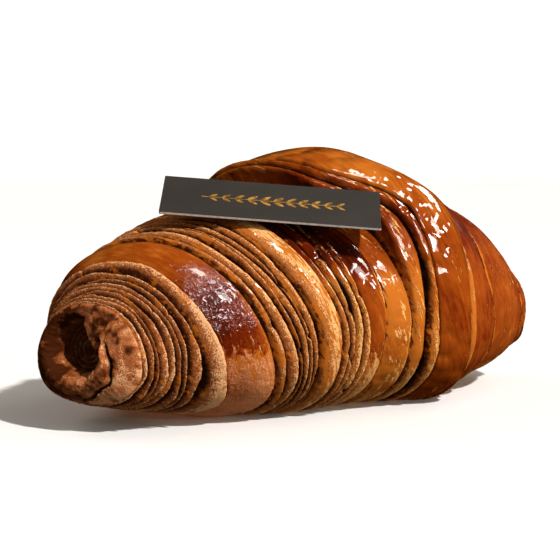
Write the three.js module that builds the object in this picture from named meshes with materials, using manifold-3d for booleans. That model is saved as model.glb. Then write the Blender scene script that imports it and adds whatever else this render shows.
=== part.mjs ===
// A large glazed chocolate croissant, rolled from laminated dough, with a blank label card on its crest.
// Millimetres, +Z up, floor at z = 0. The roll lies along X with the open curl of its nearer tip at -X,
// and both tips bend towards the viewer on the -Y side. Angles round the roll start at the viewer's side
// and grow towards the top; a station is a place along the roll's axis.

import * as THREE from "three";
import { ParametricGeometry } from "three/addons/geometries/ParametricGeometry.js";
import { mergeVertices } from "three/addons/utils/BufferGeometryUtils.js";
import Module from "manifold-3d";

const wasm = await Module();
wasm.setup();

// Overall form of the roll
const HALF_LENGTH = 80.5;
const WIDTH_RATIO = 1.15;
const BELLY_RATIO = 0.745;
const BELLY_FULLNESS = 2.4;
const BELLY_RELIEF = 0.3;
const SEAT_TRIM = 1.6;
const LEFT_TIP = { lift: 11, level: 0.3, bend: 15.5 };
const RIGHT_TIP = { lift: 12.5, level: 0.2, bend: 7 };
const COLUMNS = 42;

// Half-height of the plain roll above its axis and backward pitch of its section in degrees, at stations
const STATIONS = [
  { at: -81.5, radius: 12.2, pitch: -9 },
  { at: -70.5, radius: 17.8, pitch: 5 },
  { at: -54, radius: 26.9, pitch: 21 },
  { at: -33, radius: 33, pitch: 23 },
  { at: -10, radius: 36.5, pitch: 18 },
  { at: 11, radius: 39.5, pitch: 24 },
  { at: 24, radius: 38.8, pitch: 19 },
  { at: 36, radius: 35.5, pitch: 8 },
  { at: 54, radius: 28.5, pitch: -3 },
  { at: 70.5, radius: 18.3, pitch: -6 },
  { at: 80.5, radius: 11.5, pitch: -4 },
];

// Bands of dough from the left tip to the right, each ending at the station "edge". "strips" counts the
// lamination edges a band shows and "growth" widens each over the one before; "rise" lifts the band's
// skin at its sides, "crown" at the top, and "swell" rounds it. Every edge lies further left behind the
// roll than in front, by up to SKEW at the middle of its length.
const FIRST_EDGE = { edge: -77.3, rise: 0, crown: 0 };
const BANDS = [
  { edge: -63.2, strips: 8, growth: 0.07, rise: 0, crown: 0, swell: 0.4 },
  { edge: -57.6, strips: 1, growth: 0, rise: 0.4, crown: 0.4, swell: 1.0 },
  { edge: -43.4, strips: 1, growth: 0, rise: -0.3, crown: -0.3, swell: 1.5 },
  { edge: -40, strips: 1, growth: 0, rise: 0.3, crown: 0.3, swell: 0.6 },
  { edge: -27, strips: 5, growth: -0.06, rise: 0.2, crown: 0, swell: 0.4 },
  { edge: -18.5, strips: 1, growth: 0, rise: 0.8, crown: 0.2, swell: 1.2 },
  { edge: -7.5, strips: 4, growth: 0, rise: 0.2, crown: -1.6, swell: 0.5 },
  { edge: -0.5, strips: 1, growth: 0, rise: -0.3, crown: -3.6, swell: 0.9 },
  { edge: 8, strips: 1, growth: 0, rise: 0.3, crown: -4.4, swell: 0.9 },
  { edge: 12, strips: 1, growth: 0, rise: 1.2, crown: 5.6, swell: 1.2 },
  { edge: 16, strips: 1, growth: 0, rise: 1.5, crown: 7.4, swell: 0.9 },
  { edge: 31, strips: 1, growth: 0, rise: 1.8, crown: 8.6, swell: 1.9 },
  { edge: 36.5, strips: 1, growth: 0, rise: 0.9, crown: 4.2, swell: 0.9 },
  { edge: 48.5, strips: 1, growth: 0, rise: 0.1, crown: 0.9, swell: 1.3 },
  { edge: 72, strips: 1, growth: 0, rise: 0.1, crown: 0.1, swell: 1.1 },
  { edge: 76.5, strips: 1, growth: 0, rise: 0, crown: 0, swell: 0.4 },
];
const SKEW = 11;
const SKEW_START = -0.5;

// Low on the roll the edges hook to the left, by up to HOOK; in front, those near the high wrap stand more
// upright than the sections, by up to UPRIGHT. Each comes in along the roll between two stations and round
// it between two heights on the unit circle; UPRIGHT is gone where the front's reach falls to the first
// figure of UPRIGHT_FRONT, and both are gone at the end of EASE_OUT.
const HOOK = 9;
const HOOK_IN = { from: -48, to: -18 };
const HOOK_DOWN = { from: -0.25, to: 1 };
const UPRIGHT = 9.7;
const UPRIGHT_IN = { from: -18.5, to: 12 };
const UPRIGHT_UP = { from: -0.15, to: 0.85 };
const UPRIGHT_FRONT = { from: 0.28, to: 0.74 };
const EASE_OUT = { from: 16, to: 48.5 };
const CROWN_SHARPNESS = 1.5;
const CREASE_DEPTH = 1.2;
const ROWS_BY_WIDTH = [
  { under: 4, rows: 3 },
  { under: 16, rows: 5 },
  { under: Infinity, rows: 8 },
];
const SKIN_ROUNDING = 0.6;

// Slow unevenness of the hand-rolled form and the wander of its lamination edges
const LUMP = 0.5;
const LUMP_PITCH = 22;
const WANDER = 0.24;
const SKIN_DRIFT = 0.4;

// Open curls of the two tips, as relief on their domed end faces inside the "ring" where the bands end.
// Places on a face run towards the viewer ("u") and upwards ("v") from its middle, at the left tip's scale.
const CURL_LEFT = { ring: -77.3, dome: 4.4, scale: 1 };
const CURL_RIGHT = { ring: 76.5, dome: 4, scale: 0.72 };
const CURL_SHARES = [0, 0.15, 0.28, 0.39, 0.49, 0.58, 0.67, 0.76, 0.85, 0.94, 1];
const CURL_RIM = 0.5;
const DOME_FLATNESS = 2.6;
const DOME_ROUNDING = 0.8;
const FACE_FADE = 0.82;

// The hollow is nearest to its middle at its foot; a flap folds into it from above, between two turns seen
// from the flap's tip; a lip starts beside the flap and runs clockwise round the hollow
const HOLLOW = { u: -2.4, v: 2.4, foot: THREE.MathUtils.degToRad(-100), near: 6.9, far: 9.8, swing: 0.6 };
const HOLLOW_DEPTH = 8;
const HOLLOW_WALL = 0.6;
const FLAP = { u: 2.2, v: 1.9, from: 62, to: 116, soft: 12, length: 12.5, sink: 0.7, depth: 3.6 };
const LIP = { start: THREE.MathUtils.degToRad(20), end: 3.6, fade: 0.8, tip: 0.12, width: 4.6, height: 1.5 };
const LIP_CREASE = { depth: 1.2, width: 0.9, end: 1.8 };

// Label card, laid on the crest and tipped towards the viewer
const CARD_LENGTH = 59.2;
const CARD_DEPTH = 19.7;
const CARD_THICKNESS = 0.8;
const CARD_YAW = THREE.MathUtils.degToRad(-37.7);
const CARD_ROLL = THREE.MathUtils.degToRad(4.4);
const CARD_PITCH = THREE.MathUtils.degToRad(26.7);
const CARD_PLACE = { x: -23.8, y: -21.4 };
const CARD_GAP = 0.3;
const CARD_SAMPLES = 6;

const CRUST_COLOUR = 0x8a4a22;
const CARD_COLOUR = 0x2b2827;
const WELD = 1e-3;

/** Value of a station field at any station, by a cubic that never overshoots the stations. */
function alongRoll(field, station) {
  const last = STATIONS.length - 1;
  const at = THREE.MathUtils.clamp(station, STATIONS[0].at, STATIONS[last].at);
  const slope = (k) => (STATIONS[k + 1][field] - STATIONS[k][field]) / (STATIONS[k + 1].at - STATIONS[k].at);
  const tangent = (k) => {
    if (k === 0 || k === last) {
      return slope(Math.min(k, last - 1));
    }
    const product = slope(k - 1) * slope(k);
    return product > 0 ? (2 * product) / (slope(k - 1) + slope(k)) : 0;
  };
  let i = 0;
  while (i < last - 1 && at > STATIONS[i + 1].at) {
    i += 1;
  }
  const span = STATIONS[i + 1].at - STATIONS[i].at;
  const t = (at - STATIONS[i].at) / span;
  return (
    (1 + 2 * t) * (1 - t) ** 2 * STATIONS[i][field] +
    t * (1 - t) ** 2 * span * tangent(i) +
    t * t * (3 - 2 * t) * STATIONS[i + 1][field] +
    t * t * (t - 1) * span * tangent(i + 1)
  );
}

/** Axis of the roll at a station: its middle, its yaw towards the viewer and the pitch of its section. */
function axisAt(station) {
  const tip = station < 0 ? LEFT_TIP : RIGHT_TIP;
  const share = station / HALF_LENGTH;
  const climb = Math.max(0, (Math.abs(share) - tip.level) / (1 - tip.level));
  const pitch = THREE.MathUtils.degToRad(alongRoll("pitch", station));
  const belly = BELLY_RATIO * alongRoll("radius", station) * Math.cos(pitch);
  const height = tip.lift * climb * climb + belly - SEAT_TRIM;
  return {
    middle: new THREE.Vector3(station, -tip.bend * share * share, height),
    yaw: Math.atan((-2 * tip.bend * share) / HALF_LENGTH),
    pitch,
  };
}

/** Smooth wandering value between about -1 and 1 that closes on itself round the roll. */
function wander(angle, seed) {
  return (
    0.5 * Math.sin(2 * angle + 1.7 * seed) +
    0.3 * Math.sin(3 * angle + 2.9 * seed + 1) +
    0.2 * Math.sin(5 * angle + 4.3 * seed + 2)
  );
}

/** Point at a station and angle, at a distance from the axis that counts as "reach" straight upwards. */
function rollPoint(station, angle, reach, target) {
  const { middle, yaw, pitch } = axisAt(station);
  const across = Math.cos(angle);
  const upward = Math.sin(angle);
  let side = WIDTH_RATIO * reach * across;
  let high = reach * upward;
  if (upward < 0) {
    const norm = Math.abs(across) ** BELLY_FULLNESS + Math.abs(upward) ** BELLY_FULLNESS;
    const fuller = norm ** (-1 / BELLY_FULLNESS);
    side *= fuller;
    high *= fuller * BELLY_RATIO;
  }
  return target.set(
    middle.x + side * Math.sin(yaw) - high * Math.sin(pitch) * Math.cos(yaw),
    middle.y - side * Math.cos(yaw) - high * Math.sin(pitch) * Math.sin(yaw),
    middle.z + high * Math.cos(pitch),
  );
}

/** Point of the dough skin at a station and angle, from the relief at its sides to the one on top. */
function skinPoint(station, angle, { side, top }, target) {
  const upward = Math.sin(angle);
  const lump = LUMP * wander(angle, station / LUMP_PITCH);
  const relief =
    upward < 0
      ? side * THREE.MathUtils.lerp(1, BELLY_RELIEF, -upward)
      : THREE.MathUtils.lerp(side, top, upward ** CROWN_SHARPNESS);
  return rollPoint(station, angle, alongRoll("radius", station) + lump + relief, target);
}

/** Rows that run across every band: where each lies and how high it stands over the plain roll. */
function bandRows() {
  const rows = [];
  let last = FIRST_EDGE;
  BANDS.forEach((band, bandIndex) => {
    const widths = Array.from({ length: band.strips }, (_, i) => 1 + band.growth * i);
    const total = widths.reduce((sum, width) => sum + width, 0);
    let passed = 0;
    widths.forEach((width, strip) => {
      const reach = ((band.edge - last.edge) * width) / total;
      const count = ROWS_BY_WIDTH.find(({ under }) => reach < under).rows;
      for (let k = 0; k < count; k += 1) {
        const share = (passed + (width * k) / count) / total;
        const round = Math.sin((Math.PI * k) / count) ** SKIN_ROUNDING;
        const crease = k === 0 && strip === 0;
        const raised = k === 0 ? -CREASE_DEPTH : band.swell * round;
        rows.push({
          edge: THREE.MathUtils.lerp(last.edge, band.edge, share),
          relief: {
            side: (crease ? Math.min(last.rise, band.rise) : band.rise) + raised,
            top: (crease ? Math.min(last.crown, band.crown) : band.crown) + raised,
          },
          drift: Math.min(SKIN_DRIFT, WANDER * reach),
          seed: bandIndex + 0.37 * strip,
        });
      }
      passed += width;
    });
    last = band;
  });
  rows.push({ edge: last.edge, relief: { side: -CREASE_DEPTH, top: -CREASE_DEPTH }, drift: 0, seed: 0 });
  return rows;
}

/** How far a place on a curl's face stands out from the dome. */
function curlRelief(u, v) {
  const { smoothstep, clamp, lerp, radToDeg, euclideanModulo } = THREE.MathUtils;
  const turn = Math.atan2(v - HOLLOW.v, u - HOLLOW.u);
  const far = Math.hypot(v - HOLLOW.v, u - HOLLOW.u);
  const swing = 0.5 - 0.5 * Math.cos(turn - HOLLOW.foot);
  const edge = lerp(HOLLOW.near, HOLLOW.far, swing ** HOLLOW.swing);
  const hollow = -HOLLOW_DEPTH * (1 - smoothstep(far / edge, HOLLOW_WALL, 1));
  const flapTurn = radToDeg(Math.atan2(v - FLAP.v, u - FLAP.u));
  const fold = clamp(1 - Math.hypot(v - FLAP.v, u - FLAP.u) / FLAP.length, 0, 1);
  const onFlap =
    smoothstep(flapTurn, FLAP.from - FLAP.soft, FLAP.from + FLAP.soft) *
    (1 - smoothstep(flapTurn, FLAP.to - FLAP.soft, FLAP.to + FLAP.soft));
  const wound = euclideanModulo(LIP.start - turn, 2 * Math.PI);
  const width = LIP.width * clamp(LIP.tip + wound, LIP.tip, 1);
  const acrossLip = (far - edge) / width;
  const onLip = (1 - smoothstep(wound, LIP.end, LIP.end + LIP.fade)) * (1 - onFlap);
  const ridge = 1 - Math.abs(2 * clamp(acrossLip, 0, 1) - 1) ** DOME_FLATNESS;
  const besideLip = ((acrossLip - 1) * width) / LIP_CREASE.width;
  const creaseLeft = 1 - smoothstep(wound, LIP_CREASE.end, LIP_CREASE.end + LIP.fade);
  const crease = creaseLeft * Math.exp(-besideLip * besideLip);
  const flap = -FLAP.sink - FLAP.depth * fold;
  return lerp(hollow, flap, onFlap) + onLip * (LIP.height * ridge - LIP_CREASE.depth * crease);
}

/** Point of an open curl, at a share of the way from the middle of its face to its rim. */
function curlPoint(curl, share, angle, target) {
  const side = Math.sign(curl.ring);
  const radius = alongRoll("radius", curl.ring);
  const { middle, yaw, pitch } = axisAt(curl.ring);
  rollPoint(curl.ring, angle, share * (radius + CURL_RIM), target);
  const toViewer = (target.x - middle.x) * Math.sin(yaw) - (target.y - middle.y) * Math.cos(yaw);
  const upwards = (target.z - middle.z) / Math.cos(pitch);
  const inner = 1 - THREE.MathUtils.smoothstep(share, FACE_FADE, 1);
  const dome = curl.dome * (1 - share ** DOME_FLATNESS) ** DOME_ROUNDING;
  const out = dome + inner * curl.scale * curlRelief((-side * toViewer) / curl.scale, upwards / curl.scale);
  target.x += side * out * Math.cos(yaw) * Math.cos(pitch);
  target.y += side * out * Math.sin(yaw) * Math.cos(pitch);
  target.z += side * out * Math.sin(pitch);
  return target;
}

const ROWS = bandRows();
const ROW_TOTAL = ROWS.length + 2 * CURL_SHARES.length;

/** Station of an edge at an angle round the roll. */
function edgeStation(edge, angle) {
  const ease = (value, { from, to }) => THREE.MathUtils.smoothstep(value, from, to);
  const behind = THREE.MathUtils.smoothstep(-Math.cos(angle), SKEW_START, 1);
  const low = ease(-Math.sin(angle), HOOK_DOWN) * ease(edge, HOOK_IN);
  const front = ease(Math.sin(angle), UPRIGHT_UP) * ease(Math.cos(angle), UPRIGHT_FRONT);
  const turned = (UPRIGHT * front * ease(edge, UPRIGHT_IN) - HOOK * low) * (1 - ease(edge, EASE_OUT));
  return edge + turned - SKEW * behind * (1 - (edge / CURL_LEFT.ring) ** 2);
}

/** Point of the whole pastry; "across" runs from tip to tip and "around" once round the roll. */
function pastryPoint(across, around, target) {
  const row = Math.round(across * (ROW_TOTAL - 1));
  const angle = 2 * Math.PI * (around % 1);
  if (row < CURL_SHARES.length) {
    return curlPoint(CURL_LEFT, CURL_SHARES[row], angle, target);
  }
  if (row >= CURL_SHARES.length + ROWS.length) {
    return curlPoint(CURL_RIGHT, CURL_SHARES[ROW_TOTAL - 1 - row], angle, target);
  }
  const { edge, relief, drift, seed } = ROWS[row - CURL_SHARES.length];
  const station = edgeStation(edge, angle) + drift * wander(angle, seed);
  return skinPoint(THREE.MathUtils.clamp(station, CURL_LEFT.ring, CURL_RIGHT.ring), angle, relief, target);
}

/** Closed solid of a geometry. */
function solidOf(geometry) {
  geometry.deleteAttribute("normal");
  geometry.deleteAttribute("uv");
  const welded = mergeVertices(geometry, WELD);
  return new wasm.Manifold(
    new wasm.Mesh({
      numProp: 3,
      vertProperties: new Float32Array(welded.attributes.position.array),
      triVerts: new Uint32Array(welded.index.array),
    }),
  );
}

/** Geometry of a closed solid. */
function geometryOf(solid) {
  const mesh = solid.getMesh();
  const geometry = new THREE.BufferGeometry();
  geometry.setAttribute("position", new THREE.BufferAttribute(new Float32Array(mesh.vertProperties), 3));
  geometry.setIndex(new THREE.BufferAttribute(new Uint32Array(mesh.triVerts), 1));
  return geometry;
}

/** The pastry: the rolled skin cut flat where it rests. */
function makePastry() {
  const skin = solidOf(new ParametricGeometry(pastryPoint, ROW_TOTAL - 1, COLUMNS));
  const under = new THREE.BoxGeometry(4 * HALF_LENGTH, 4 * HALF_LENGTH, HALF_LENGTH);
  under.translate(0, 0, -HALF_LENGTH / 2);
  return geometryOf(skin.subtract(solidOf(under)));
}

/** Calls a visitor with evenly spread points of every triangle of a geometry. */
function visitSurface(geometry, samples, visit) {
  const corner = [0, 1, 2].map(() => new THREE.Vector3());
  const point = new THREE.Vector3();
  for (let face = 0; face < geometry.index.count; face += 3) {
    corner.forEach((at, k) => {
      at.fromBufferAttribute(geometry.attributes.position, geometry.index.getX(face + k));
    });
    for (let i = 0; i <= samples; i += 1) {
      for (let j = 0; j <= samples - i; j += 1) {
        point.copy(corner[0]).multiplyScalar(i / samples);
        point.addScaledVector(corner[1], j / samples);
        point.addScaledVector(corner[2], (samples - i - j) / samples);
        visit(point);
      }
    }
  }
}

/** The card, turned to the viewer and let down until it is one gap above the pastry. */
function makeCard(pastry) {
  const turn = new THREE.Matrix4().makeRotationFromEuler(
    new THREE.Euler(CARD_PITCH, CARD_ROLL, CARD_YAW, "ZYX"),
  );
  const back = turn.clone().invert();
  const face = new THREE.Vector3(0, 0, 1).applyMatrix4(turn);
  const place = new THREE.Vector3();
  let height = 0;
  visitSurface(pastry, CARD_SAMPLES, (point) => {
    place.set(point.x - CARD_PLACE.x, point.y - CARD_PLACE.y, 0);
    const slope = -(place.x * face.x + place.y * face.y) / face.z;
    place.setZ(slope).applyMatrix4(back);
    if (Math.abs(place.x) < CARD_LENGTH / 2 && Math.abs(place.y) < CARD_DEPTH / 2) {
      height = Math.max(height, point.z - slope);
    }
  });
  const card = new THREE.BoxGeometry(CARD_LENGTH, CARD_DEPTH, CARD_THICKNESS);
  card.applyMatrix4(turn);
  card.translate(CARD_PLACE.x, CARD_PLACE.y, height + (CARD_GAP + CARD_THICKNESS / 2) / face.z);
  return card;
}

/** A named mesh with its own finish. */
function named(name, geometry, colour, roughness) {
  const mesh = new THREE.Mesh(geometry, new THREE.MeshStandardMaterial({ color: colour, roughness }));
  mesh.name = name;
  return mesh;
}

/** Both pieces, moved so that the middle of their footprint is the origin. */
function makeGroup() {
  const pastry = makePastry();
  const card = makeCard(pastry);
  const group = new THREE.Group();
  group.add(named("pastry", pastry, CRUST_COLOUR, 0.55));
  group.add(named("label_card", card, CARD_COLOUR, 0.8));
  const middle = new THREE.Box3().setFromObject(group).getCenter(new THREE.Vector3());
  pastry.translate(-middle.x, -middle.y, 0);
  card.translate(-middle.x, -middle.y, 0);
  return group;
}

export default makeGroup();
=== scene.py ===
"""Dresses a packed chocolate croissant and its label card, and sets them in a plain pale studio.

Sizes are millimetres until a mesh is made. The roll lies along X with its open curl at -X. Angles round it
are zero at the viewer's side and a quarter turn at the top.
"""

import itertools
import logging
import math
from dataclasses import dataclass, field
from enum import Enum, IntEnum

import bmesh
import bpy
import numpy as np
from mathutils import Euler, Matrix, Vector

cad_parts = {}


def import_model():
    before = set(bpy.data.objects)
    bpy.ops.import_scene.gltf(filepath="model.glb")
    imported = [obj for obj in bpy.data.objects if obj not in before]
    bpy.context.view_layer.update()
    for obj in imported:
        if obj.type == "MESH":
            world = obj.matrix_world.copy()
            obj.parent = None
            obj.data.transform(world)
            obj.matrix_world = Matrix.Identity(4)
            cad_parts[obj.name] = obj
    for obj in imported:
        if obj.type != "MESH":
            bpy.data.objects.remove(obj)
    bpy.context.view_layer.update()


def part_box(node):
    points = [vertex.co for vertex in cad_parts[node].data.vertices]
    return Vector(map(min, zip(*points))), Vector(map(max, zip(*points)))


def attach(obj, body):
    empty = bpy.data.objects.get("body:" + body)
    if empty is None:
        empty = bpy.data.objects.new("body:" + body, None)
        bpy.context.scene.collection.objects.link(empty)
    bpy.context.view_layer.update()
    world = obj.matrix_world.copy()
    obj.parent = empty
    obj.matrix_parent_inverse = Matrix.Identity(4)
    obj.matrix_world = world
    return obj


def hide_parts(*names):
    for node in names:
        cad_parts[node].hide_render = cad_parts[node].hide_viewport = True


MM = 0.001
BODY = "root"
TINY = 1e-9
LOG = logging.getLogger("croissant")

Array = np.ndarray
Colour = tuple[float, float, float, float]
Span = tuple[float, float]


def smooth(value: Array, low: float, high: float) -> Array:
    """Smooth step from 0 at low to 1 at high."""
    t = np.clip((np.asarray(value, float) - low) / (high - low), 0.0, 1.0)
    return t * t * (3.0 - 2.0 * t)


def bell(value: Array, width: float | Array) -> Array:
    """Bell curve of height 1 round zero, which has fallen to about a third at the width."""
    return np.exp(-np.square(np.asarray(value, float) / width))


def linear(red: int, green: int, blue: int) -> Colour:
    """Scene colour of an ordinary screen colour.

    Args:
        red: Red from 0 to 255.
        green: Green from 0 to 255.
        blue: Blue from 0 to 255.

    Returns:
        Linear red, green and blue, and an alpha of 1.
    """
    share = np.array([red, green, blue]) / 255.0
    curved = np.where(share <= 0.04045, share / 12.92, ((share + 0.055) / 1.055) ** 2.4)
    return (*curved.tolist(), 1.0)


def linked(name: str, data: bpy.types.ID) -> bpy.types.Object:
    """New object of the scene.

    Args:
        name: Its name.
        data: Its mesh, light or camera.

    Returns:
        The object.
    """
    made = bpy.data.objects.new(name, data)
    bpy.context.scene.collection.objects.link(made)
    return made


def piece_of(made: bmesh.types.BMesh, name: str, *finishes: bpy.types.Material) -> bpy.types.Object:
    """Object of a finished mesh.

    Args:
        made: The mesh, which is freed.
        name: Name of the piece.
        *finishes: Its materials.

    Returns:
        The object.
    """
    mesh = bpy.data.meshes.new(name)
    made.to_mesh(mesh)
    made.free()
    for finish in finishes:
        mesh.materials.append(finish)
    return linked(name, mesh)


def thickened(made: bmesh.types.BMesh, faces: list, height: float) -> list[bmesh.types.BMVert]:
    """Raises flat faces into thin solids.

    Args:
        made: The mesh they belong to.
        faces: The faces.
        height: How far they are raised along Z.

    Returns:
        The new points.
    """
    raised = bmesh.ops.extrude_face_region(made, geom=faces)["geom"]
    tops = [v for v in raised if isinstance(v, bmesh.types.BMVert)]
    bmesh.ops.translate(made, vec=Vector((0, 0, height)), verts=tops)
    return tops


@dataclass
class Noise:
    """Seeded smooth value noise in space."""

    seed: int
    size: int = 8192
    mixers: tuple[int, int, int] = (73856093, 19349663, 83492791)
    table: Array = field(init=False, repr=False)

    def __post_init__(self) -> None:
        """Draws the table of values."""
        self.table = np.random.default_rng(self.seed).random(self.size) * 2.0 - 1.0

    def at(self, x: Array, y: Array, z: Array | float = 0.0) -> Array:
        """Noise at any places.

        Args:
            x: Places along the first axis.
            y: Places along the second axis.
            z: Places along the third axis.

        Returns:
            Values from -1 to 1.
        """
        place = np.broadcast_arrays(*(np.asarray(v, float) for v in (x, y, z)))
        low = [np.floor(v).astype(np.int64) for v in place]
        share = [smooth(v - b, 0.0, 1.0) for v, b in zip(place, low)]
        total = np.zeros(place[0].shape)
        for corner in itertools.product((0, 1), repeat=3):
            weight, key = 1.0, 0
            for s, b, pick, mixer in zip(share, low, corner, self.mixers):
                weight = weight * (s if pick else 1.0 - s)
                key = key ^ (b + pick) * mixer
            total += weight * self.table[key % self.size]
        return total


@dataclass(frozen=True)
class Tip:
    """How one end of the roll leaves the tray: lift, level share and bend towards the viewer."""

    lift: float
    level: float
    bend: float


@dataclass(frozen=True)
class Roll:
    """The plain rolled form, without its bands."""

    half_length: float = 80.5
    width_ratio: float = 1.15
    belly_ratio: float = 0.745
    belly_fullness: float = 2.4
    seat_trim: float = 1.6
    left: Tip = Tip(lift=11.0, level=0.3, bend=15.5)
    right: Tip = Tip(lift=12.5, level=0.2, bend=7.0)
    stations: tuple[float, ...] = (-81.5, -70.5, -54.0, -33.0, -10.0, 11.0, 24.0, 36.0, 54.0, 70.5, 80.5)
    radii: tuple[float, ...] = (12.2, 17.8, 26.9, 33.0, 36.5, 39.5, 38.8, 35.5, 28.5, 18.3, 11.5)
    pitches: tuple[float, ...] = (-9.0, 5.0, 21.0, 23.0, 18.0, 24.0, 19.0, 8.0, -3.0, -6.0, -4.0)

    def _along(self, values: tuple[float, ...], station: Array) -> Array:
        """Cubic through the stations that never overshoots them.

        Args:
            values: One value for each station.
            station: Places along the axis.

        Returns:
            The value at each place.
        """
        knots, levels = np.asarray(self.stations), np.asarray(values)
        at = np.clip(np.asarray(station, float), knots[0], knots[-1])
        slope = np.diff(levels) / np.diff(knots)
        product, total = slope[:-1] * slope[1:], slope[:-1] + slope[1:]
        inner = np.where(product > 0, 2.0 * product / np.where(np.abs(total) < TINY, 1.0, total), 0.0)
        tangent = np.concatenate([slope[:1], inner, slope[-1:]])
        i = np.clip(np.searchsorted(knots, at) - 1, 0, len(knots) - 2)
        span = knots[i + 1] - knots[i]
        t = (at - knots[i]) / span
        return (
            (1 + 2 * t) * (1 - t) ** 2 * levels[i]
            + t * (1 - t) ** 2 * span * tangent[i]
            + t * t * (3 - 2 * t) * levels[i + 1]
            + t * t * (t - 1) * span * tangent[i + 1]
        )

    def radius(self, station: Array) -> Array:
        """Half-height above the axis at places along it."""
        return self._along(self.radii, station)

    def axis(self, station: Array) -> tuple[Array, Array, Array]:
        """Middle of the section, its yaw towards the viewer and its backward pitch.

        Args:
            station: Places along the axis.

        Returns:
            Points, yaws and pitches.
        """
        station = np.asarray(station, float)
        left = station < 0
        lift = np.where(left, self.left.lift, self.right.lift)
        level = np.where(left, self.left.level, self.right.level)
        bend = np.where(left, self.left.bend, self.right.bend)
        share = station / self.half_length
        climb = np.maximum(0.0, (np.abs(share) - level) / (1 - level))
        pitch = np.radians(self._along(self.pitches, station))
        height = lift * climb**2 + self.belly_ratio * self.radius(station) * np.cos(pitch) - self.seat_trim
        middle = np.stack([station, -bend * share**2, height], axis=-1)
        return middle, np.arctan(-2 * bend * share / self.half_length), pitch

    def outward(self, station: float) -> Array:
        """Unit direction along the axis towards the right tip."""
        _, yaw, pitch = self.axis(np.asarray(station))
        return np.array([np.cos(pitch) * np.cos(yaw), np.cos(pitch) * np.sin(yaw), np.sin(pitch)])

    def spread(self, angle: Array) -> tuple[Array, Array]:
        """Sideways and upward share of a section at unit reach.

        Args:
            angle: Angles round the roll.

        Returns:
            Sideways and upward shares.
        """
        across, upward = np.cos(angle), np.sin(angle)
        full = self.belly_fullness
        norm = (np.abs(across) ** full + np.abs(upward) ** full) ** (-1.0 / full)
        below = upward < 0
        side = self.width_ratio * across * np.where(below, norm, 1.0)
        return side, upward * np.where(below, norm * self.belly_ratio, 1.0)

    def point(self, station: Array, angle: Array, reach: Array) -> Array:
        """Points at a reach from the axis, kept above the tray.

        Args:
            station: Places along the axis.
            angle: Angles round the roll.
            reach: Distances that count straight upwards.

        Returns:
            Points with a last axis of three.
        """
        middle, yaw, pitch = self.axis(station)
        side, high = (share * reach for share in self.spread(angle))
        x = middle[..., 0] + side * np.sin(yaw) - high * np.sin(pitch) * np.cos(yaw)
        y = middle[..., 1] - side * np.cos(yaw) - high * np.sin(pitch) * np.sin(yaw)
        z = middle[..., 2] + high * np.cos(pitch)
        return np.stack([x, y, np.maximum(z, 0.0)], axis=-1)


class Finish(Enum):
    """How the dough shows in a band."""

    LAMINATION = "lamination"
    GLAZE = "glaze"
    TAN = "tan"


@dataclass(frozen=True)
class Relief:
    """Fine relief of a kind of dough: its plies, their depth, its dents and how far its crests lean."""

    plies: float
    ply_depth: float
    dents: float
    lean: float


RELIEFS = {
    Finish.LAMINATION: Relief(plies=3.0, ply_depth=0.2, dents=0.0, lean=1.8),
    Finish.GLAZE: Relief(plies=2.0, ply_depth=0.0, dents=0.15, lean=1.3),
    Finish.TAN: Relief(plies=3.0, ply_depth=0.3, dents=0.35, lean=1.3),
}


@dataclass(frozen=True)
class Band:
    """A stretch of dough that ends at the station edge.

    rise lifts its skin at the sides, crown at the top; swell rounds it; crease and opening are the depth and
    half-width of its first edge; gap is the depth of the edges between its strips, which change in width by
    growth. glaze is the share of its skin that is brushed, down to the height bare; deep is how dark its
    glaze is, less dawn at the top and along its right edge, and more by painted_shade high on the viewer's
    side, mostly the card's shadow painted onto the glaze; shine is how glassy it is, and craze how finely
    its glaze has cracked where the key light falls on it, which also sets painted glints there.
    """

    edge: float
    finish: Finish
    strips: int = 1
    growth: float = 0.0
    rise: float = 0.0
    crown: float = 0.0
    swell: float = 0.6
    crease: float = 1.8
    opening: float = 0.4
    gap: float = 2.1
    glaze: float = 0.0
    bare: float = -0.85
    deep: float = 0.4
    dawn: float = 0.0
    painted_shade: float = 0.0
    shine: float = 1.0
    craze: float = 0.0


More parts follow.
